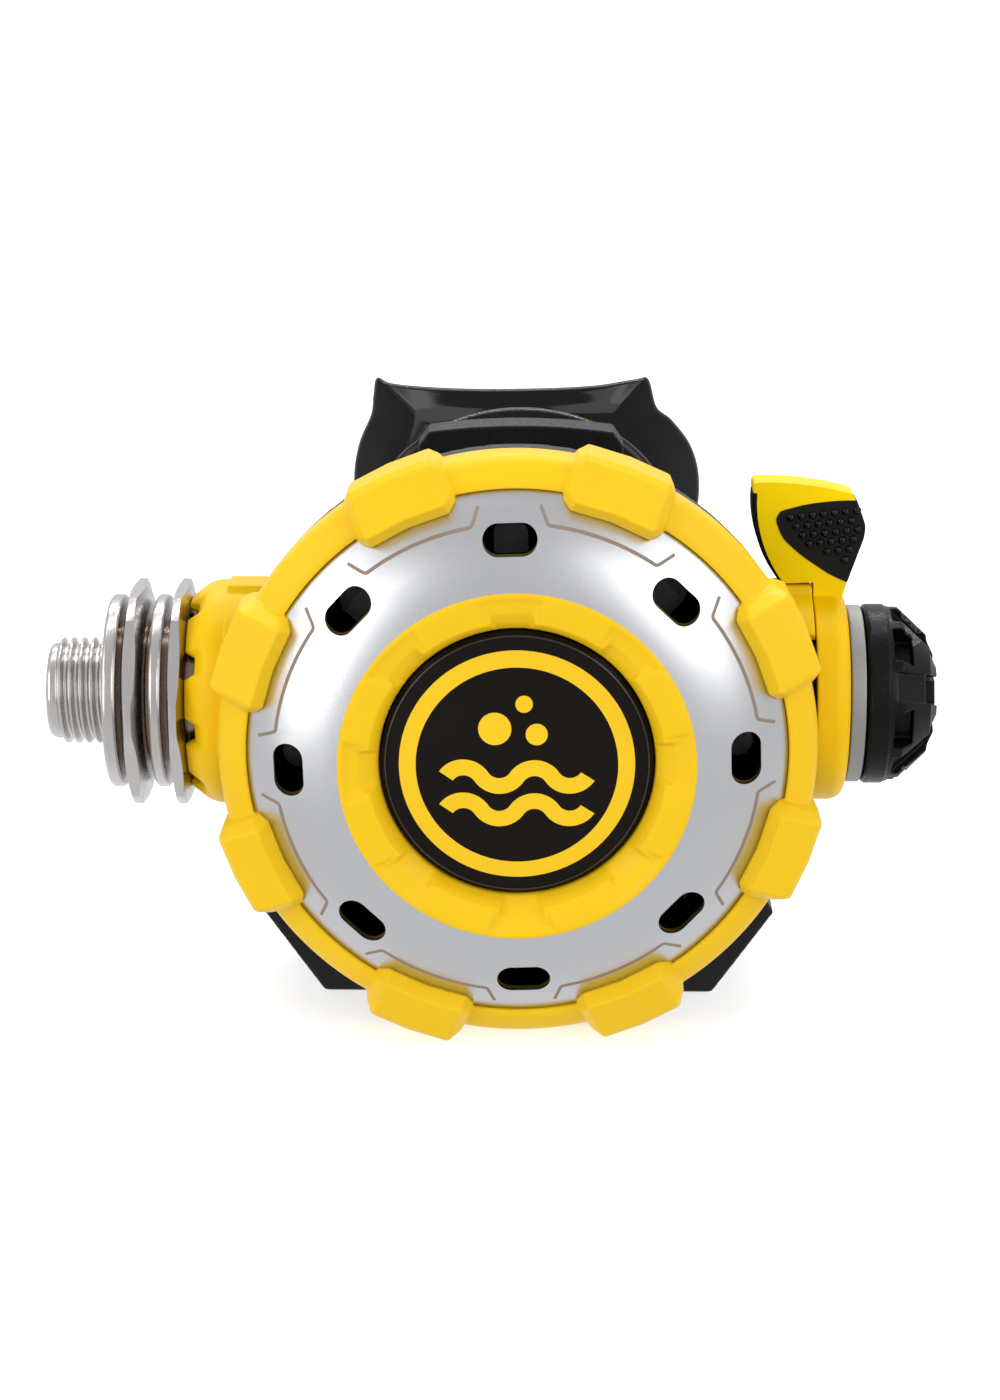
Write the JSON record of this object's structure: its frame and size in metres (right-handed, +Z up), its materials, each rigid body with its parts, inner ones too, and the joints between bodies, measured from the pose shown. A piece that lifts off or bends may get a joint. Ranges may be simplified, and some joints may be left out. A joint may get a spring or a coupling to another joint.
{
  "type": "scuba regulator second stage",
  "caption": "Demand valve a diver breathes from: round purge-button front, cross barrel with hose thread, effort knob, venturi lever, mouthpiece and exhaust tee.",
  "frame": {"origin": "centre of the hose inlet's shoulder, where the hose nut seats, on the valve barrel's axis", "axes": "+X along the barrel away from the hose, +Y towards the diver's mouth, +Z up as worn"},
  "size_m": [0.1184, 0.096, 0.0791],
  "materials": {
    "black_plastic": "fine grain",
    "yellow_plastic": "satin",
    "satin_steel": "bead-blasted satin",
    "satin_chrome": "satin chrome plate",
    "aluminium": "matte anodised",
    "black_rubber": "satin moulded",
    "yellow_rubber": "satin moulded",
    "silicone": "soft matt",
    "black_silicone": "glossy",
    "spring_steel": "bright drawn",
    "brass": "turned"
  },
  "bodies": {
    "case": {"case_shell": "black_plastic", "case_o_ring": "black_rubber", "front_cover": "yellow_plastic", "trim_plate": "satin_steel", "diaphragm_membrane": "silicone", "diaphragm_ring": "black_plastic", "guard_grille": "black_plastic", "purge_spring": "spring_steel", "inlet_connector": "satin_chrome", "connector_o_ring": "black_rubber", "heat_exchanger": "satin_chrome", "left_collar": "yellow_plastic", "right_saddle": "yellow_plastic", "valve_spindle": "satin_chrome", "lever_pin": "spring_steel", "orifice_seat": "satin_chrome", "orifice_o_ring": "black_rubber", "poppet_spring": "spring_steel", "spindle_nut": "aluminium", "mouthpiece": "black_silicone", "mouthpiece_clamp": "black_plastic", "exhaust_spider": "black_plastic", "exhaust_valve": "silicone", "exhaust_tee": "black_plastic"},
    "purge_button": {"purge_disc": "black_rubber", "purge_ring": "yellow_rubber", "purge_emblem": "yellow_rubber", "purge_clip": "spring_steel"},
    "diaphragm": {"diaphragm_plate": "satin_steel"},
    "demand_lever": {"demand_lever": "spring_steel"},
    "poppet": {"poppet": "black_plastic", "seat_disc": "silicone", "poppet_nut": "brass"},
    "venturi": {"venturi_lever": "yellow_plastic", "lever_grip": "black_rubber", "lever_edge_strip": "black_rubber", "venturi_vane": "black_plastic"},
    "knob": {"effort_knob": "black_plastic"},
    "adjuster": {"adjuster_screw": "brass", "adjuster_o_ring": "black_rubber"}
  },
  "joints": [
    {"name": "purge_press", "type": "slide", "parent": "case", "child": "purge_button", "axis": [0, 1, 0], "range_m": [0, 0.0035], "stiffness_N_per_m": 500, "springref_m": -0.003, "deforming": ["purge_spring", "diaphragm_membrane"]},
    {"name": "diaphragm_move", "type": "slide", "parent": "case", "child": "diaphragm", "axis": [0, 1, 0], "range_m": [0, 0.0037]},
    {"name": "lever_rock", "type": "hinge", "parent": "case", "child": "demand_lever", "pos_m": [0.0691, -0.0076, 0], "axis": [0, 0, 1], "range_deg": [-13.2, 0]},
    {"name": "poppet_lift", "type": "slide", "parent": "case", "child": "poppet", "axis": [1, 0, 0], "range_m": [0, 0.0013], "deforming": ["poppet_spring"]},
    {"name": "venturi_turn", "type": "hinge", "parent": "case", "child": "venturi", "pos_m": [0.0955, 0, 0], "axis": [1, 0, 0], "range_deg": [-75, 0]},
    {"name": "knob_turn", "type": "hinge", "parent": "case", "child": "knob", "pos_m": [0.1004, 0, 0], "axis": [1, 0, 0], "range_deg": [-724, 0]},
    {"name": "adjuster_feed", "type": "slide", "parent": "knob", "child": "adjuster", "axis": [1, 0, 0], "range_m": [-0.002, 0]}
  ],
  "couplings": [
    {"joint": "diaphragm_move", "follows": "purge_press", "ratio": 1},
    {"joint": "lever_rock", "follows": "purge_press", "rad_per_m": -63.3},
    {"joint": "poppet_lift", "follows": "purge_press", "ratio": 0.343},
    {"joint": "knob_turn", "follows": "adjuster_feed", "rad_per_m": 6283.2}
  ]
}
